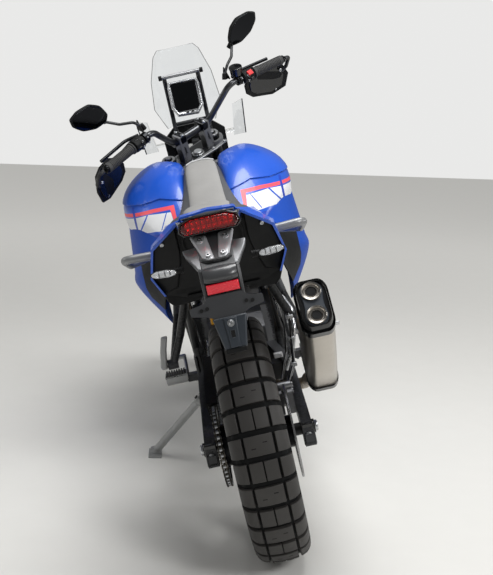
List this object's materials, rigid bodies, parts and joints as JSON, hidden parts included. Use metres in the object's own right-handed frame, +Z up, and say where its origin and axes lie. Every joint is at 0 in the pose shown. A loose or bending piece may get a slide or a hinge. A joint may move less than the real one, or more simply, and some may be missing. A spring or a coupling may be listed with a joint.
{
  "type": "adventure motorcycle",
  "caption": "Tall adventure motorcycle with spoked wheels, wide tank, one-piece seat and windscreen, leaning on its side stand with the steering turned left.",
  "frame": {"origin": "on the floor under the middle of the whole box", "axes": "+X forward, +Y to the rider's left, +Z up from the floor"},
  "size_m": [2.2544, 0.8424, 1.49],
  "materials": {
    "tyre": "block tread, dull",
    "black_rim": "satin black",
    "disc_steel": "ground",
    "drive_steel": "oiled",
    "frame_black": "satin black",
    "engine_alloy": "dark cast",
    "skid_alloy": "brushed",
    "exhaust_steel": "brushed",
    "seat_cover": "grained, two tones",
    "body_blue": "gloss",
    "black_plastic": "fine grain",
    "red_lens": "clear gloss",
    "clear_lens": "clear",
    "clear_screen": "clear",
    "gold_shock": "gold and black",
    "calliper": "satin",
    "bare_alloy": "satin",
    "bar_alloy": "anodised, dark",
    "fork_chrome": "polished",
    "grip_rubber": "ribbed"
  },
  "bodies": {
    "chassis": {"chain": "drive_steel", "swingarm": "frame_black", "frame": "frame_black", "crankcase": "engine_alloy", "cylinder_block": "engine_alloy", "radiator": "engine_alloy", "skid_plate": "skid_alloy", "exhaust_pipes": "exhaust_steel", "silencer": "exhaust_steel", "seat": "seat_cover", "fuel_tank": "body_blue", "side_fairings": "body_blue", "tail_panels": "body_blue", "tail_cover": "black_plastic", "tail_light": "red_lens", "plate_carrier": "black_plastic", "plate_bracket": "frame_black", "grab_rails": "frame_black", "rear_shock": "gold_shock", "rear_calliper": "calliper", "chain_guard": "black_plastic", "footrests": "bare_alloy", "peg_hangers": "frame_black", "foot_levers": "bare_alloy", "screen_bracket": "frame_black", "nose_fairing": "black_plastic", "headlight": "clear_lens", "dash": "black_plastic", "windscreen": "clear_screen", "indicators": "clear_lens", "stand_bracket": "frame_black"},
    "steering": {"yokes": "bare_alloy", "fork_tubes": "bar_alloy", "fork_sliders": "fork_chrome", "front_callipers": "calliper", "front_mudguard": "body_blue", "handlebar": "bar_alloy", "grips": "grip_rubber", "switchgear": "black_plastic", "levers": "bare_alloy", "hand_guards": "black_plastic", "mirrors": "black_plastic"},
    "front_wheel": {"front_tyre": "tyre", "front_rim": "black_rim", "front_discs": "disc_steel"},
    "rear_wheel": {"rear_tyre": "tyre", "rear_rim": "black_rim", "rear_disc": "disc_steel", "rear_sprocket": "drive_steel"},
    "side_stand": {"side_stand": "bare_alloy"}
  },
  "joints": [
    {"name": "steering", "type": "hinge", "parent": "chassis", "child": "steering", "pos_m": [0.4884, -0.03466, 0.85989], "axis": [-0.4472, 0.2239, 0.8659], "range_deg": [-70, 0]},
    {"name": "front_wheel_spin", "type": "hinge", "parent": "steering", "child": "front_wheel", "pos_m": [0.81769, -0.13966, 0.31855], "axis": [-0.513, 0.7288, -0.4534], "continuous": true},
    {"name": "rear_wheel_spin", "type": "hinge", "parent": "chassis", "child": "rear_wheel", "pos_m": [-0.73282, -0.17205, 0.32863], "axis": [0, 0.9681, -0.2504], "continuous": true},
    {"name": "side_stand_fold", "type": "hinge", "parent": "chassis", "child": "side_stand", "pos_m": [-0.13518, -0.02181, 0.2386], "axis": [0.0374, 0.8373, 0.5454], "range_deg": [0, 100]}
  ]
}
